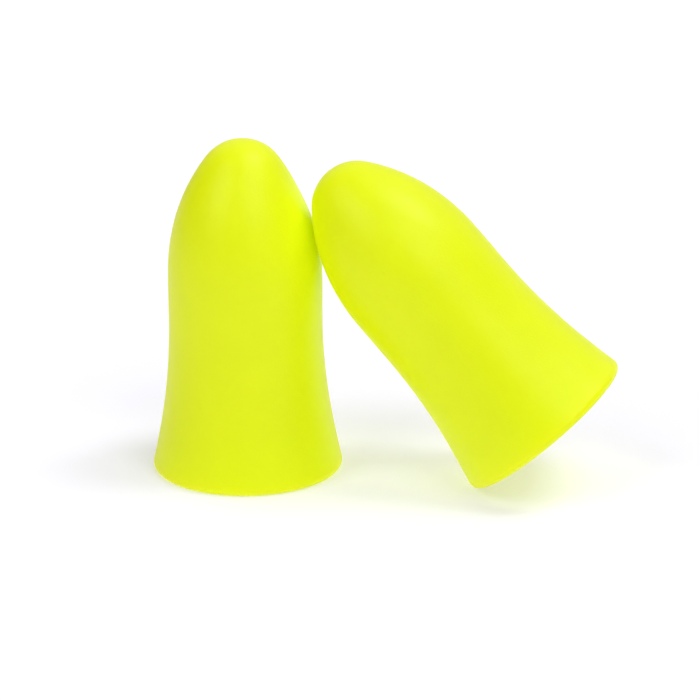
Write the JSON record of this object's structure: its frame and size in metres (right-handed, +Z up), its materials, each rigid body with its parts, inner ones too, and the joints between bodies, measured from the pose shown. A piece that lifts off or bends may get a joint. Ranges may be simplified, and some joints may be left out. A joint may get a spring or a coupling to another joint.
{
  "type": "foam ear plugs",
  "caption": "Pair of bell-shaped foam ear plugs with flared flat bases and rounded noses, one upright and one leaning on it.",
  "frame": {"origin": "centre of the upright plug's flat base, on the surface that both plugs stand on", "axes": "+Z up along the upright plug's axis; +X towards the leaning plug, whose axis lies in the XZ plane and leans 41.3 degrees from upright towards -X"},
  "size_m": [0.0345, 0.014, 0.025],
  "materials": {
    "foam": "matte, soft moulded skin on slow-recovery foam, fluorescent yellow-green"
  },
  "bodies": {
    "upright": {"upright_plug": "foam"},
    "leaning": {"leaning_plug": "foam"}
  },
  "joints": [
    {"name": "leaning_plug_lift", "type": "slide", "parent": "upright", "child": "leaning", "axis": [0, 0, 1], "range_m": [0, 0.03]}
  ]
}
